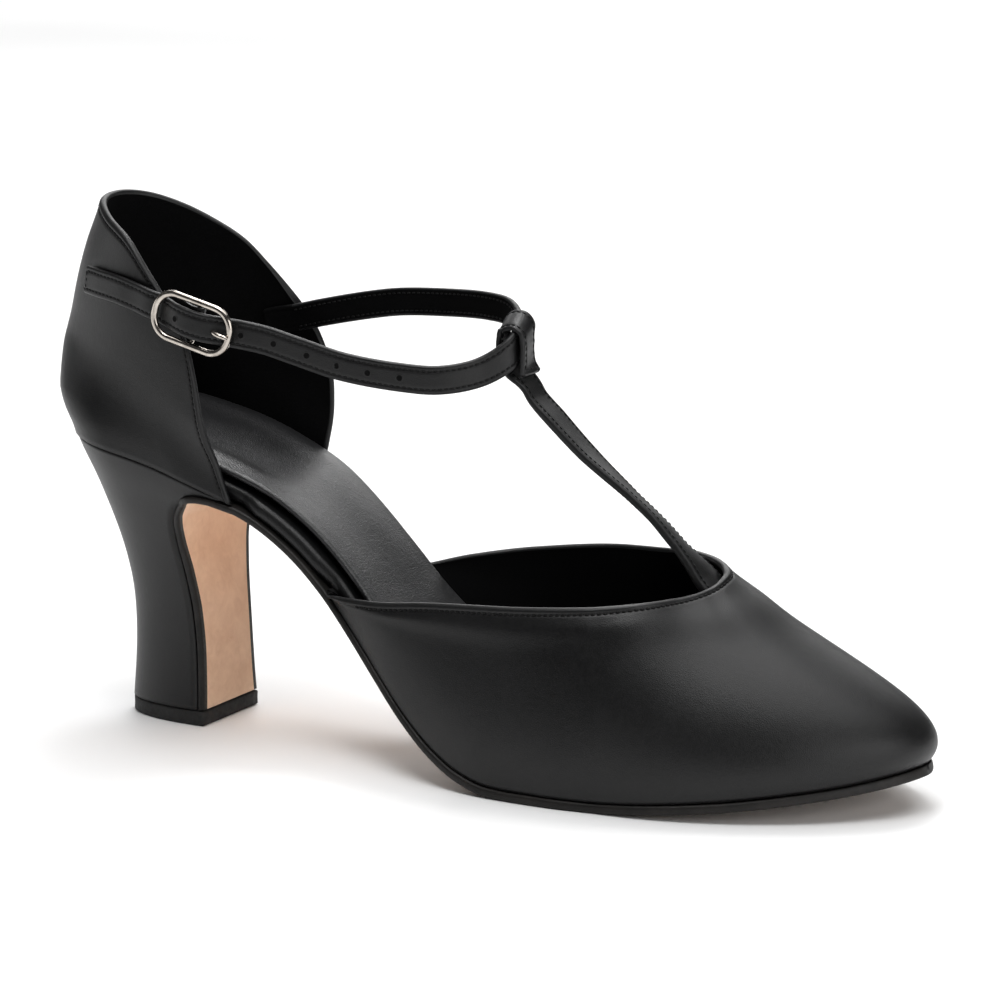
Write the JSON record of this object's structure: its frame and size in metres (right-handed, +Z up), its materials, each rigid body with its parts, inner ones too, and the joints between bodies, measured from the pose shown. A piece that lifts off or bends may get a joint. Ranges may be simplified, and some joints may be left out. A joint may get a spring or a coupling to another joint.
{
  "type": "character shoe",
  "caption": "Right T-strap character shoe: closed-toe vamp, open sides, buckled ankle strap, flared covered heel, thin sole that runs down the heel breast.",
  "frame": {"origin": "centre of the heel tip's face on the floor", "axes": "+X to the toe, +Y to the inner (medial) side, +Z up"},
  "size_m": [0.2325, 0.0785, 0.1307],
  "materials": {
    "upper_leather": "smooth black leather, soft satin gloss, fine grain",
    "cover_leather": "smooth black leather stretched over the heel and the insole board",
    "sock_leather": "soft dark grey padded leather",
    "sole_leather": "tan split leather, matt, black painted edges",
    "tip_rubber": "matt black rubber",
    "buckle_metal": "polished nickel with a warm tone"
  },
  "bodies": {
    "root": {"heel": "cover_leather", "heel_tip": "tip_rubber", "outsole": "sole_leather", "insole_board": "cover_leather", "insole_sock": "sock_leather", "quarter": "upper_leather", "vamp": "upper_leather", "ankle_strap": "upper_leather", "t_strap": "upper_leather", "buckle_tab": "upper_leather", "buckle_frame": "buckle_metal", "buckle_prong": "buckle_metal"}
  },
  "joints": []
}
